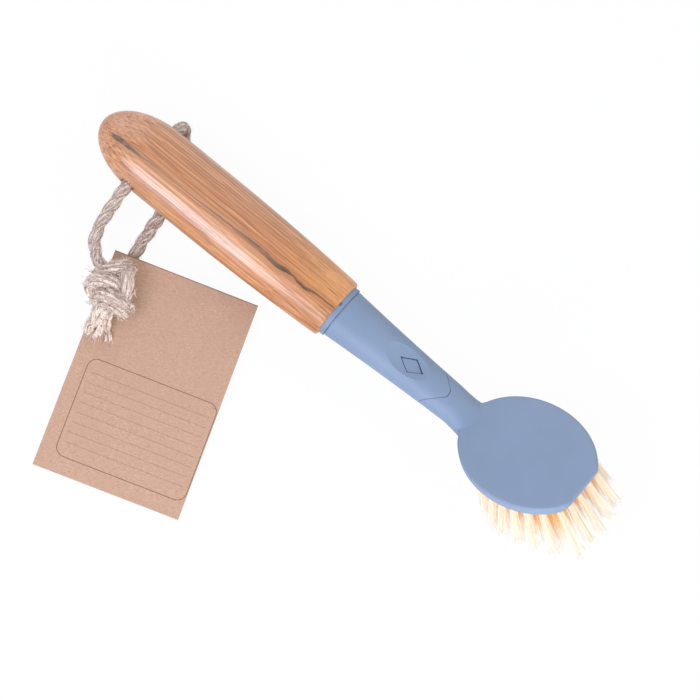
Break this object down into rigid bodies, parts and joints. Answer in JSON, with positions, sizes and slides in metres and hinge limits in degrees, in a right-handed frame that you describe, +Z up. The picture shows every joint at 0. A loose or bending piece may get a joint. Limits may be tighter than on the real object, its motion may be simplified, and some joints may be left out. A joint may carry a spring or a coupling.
{
  "type": "dish brush",
  "caption": "Dish brush with an oval bamboo grip, a moulded neck, a pull-off oval bristle head with a press-in catch, and a hemp cord loop with a blank card.",
  "frame": {"origin": "on the table, below the middle of the brush's box without its cord and card", "axes": "+X from the butt towards the head, +Z up, so +Y is to the left when looking along the brush from its butt"},
  "size_m": [0.2546, 0.1504, 0.0456],
  "materials": {
    "bamboo": "waxed, with a soft gloss",
    "neck_plastic": "satin",
    "head_plastic": "satin",
    "catch_plastic": "satin",
    "bristle": "fine filament",
    "anchor_wire": "bright wire",
    "hemp": "twisted hemp",
    "kraft_card": "uncoated kraft"
  },
  "bodies": {
    "handle": {"bamboo_handle": "bamboo", "neck_sleeve": "neck_plastic", "cord_in_handle": "hemp", "cord_left": "hemp", "cord_right": "hemp", "cord_knot": "hemp", "cord_tails": "hemp"},
    "head": {"brush_head": "head_plastic", "bristle_row_01": "bristle", "bristle_row_02": "bristle", "bristle_row_03": "bristle", "bristle_row_04": "bristle", "bristle_row_05": "bristle", "bristle_row_06": "bristle", "bristle_row_07": "bristle", "bristle_row_08": "bristle", "bristle_row_09": "bristle", "bristle_row_10": "bristle", "tuft_anchors": "anchor_wire"},
    "catch": {"release_catch": "catch_plastic"},
    "tag": {"swing_tag": "kraft_card"}
  },
  "joints": [
    {"name": "head_slide", "type": "slide", "parent": "handle", "child": "head", "axis": [0.9986, 0, 0.0536], "range_m": [0, 0.03], "deforming": ["release_catch"]},
    {"name": "catch_press", "type": "hinge", "parent": "head", "child": "catch", "pos_m": [0.04391, 0, 0.02404], "axis": [0, -1, 0], "range_deg": [0, 7], "stiffness_Nm_per_rad": 0.4, "springref_deg": -2.86},
    {"name": "tag_swivel", "type": "hinge", "parent": "handle", "child": "tag", "pos_m": [-0.08179, -0.0389, 0.0056], "axis": [0, 0, 1], "range_deg": [-35, 6]}
  ]
}
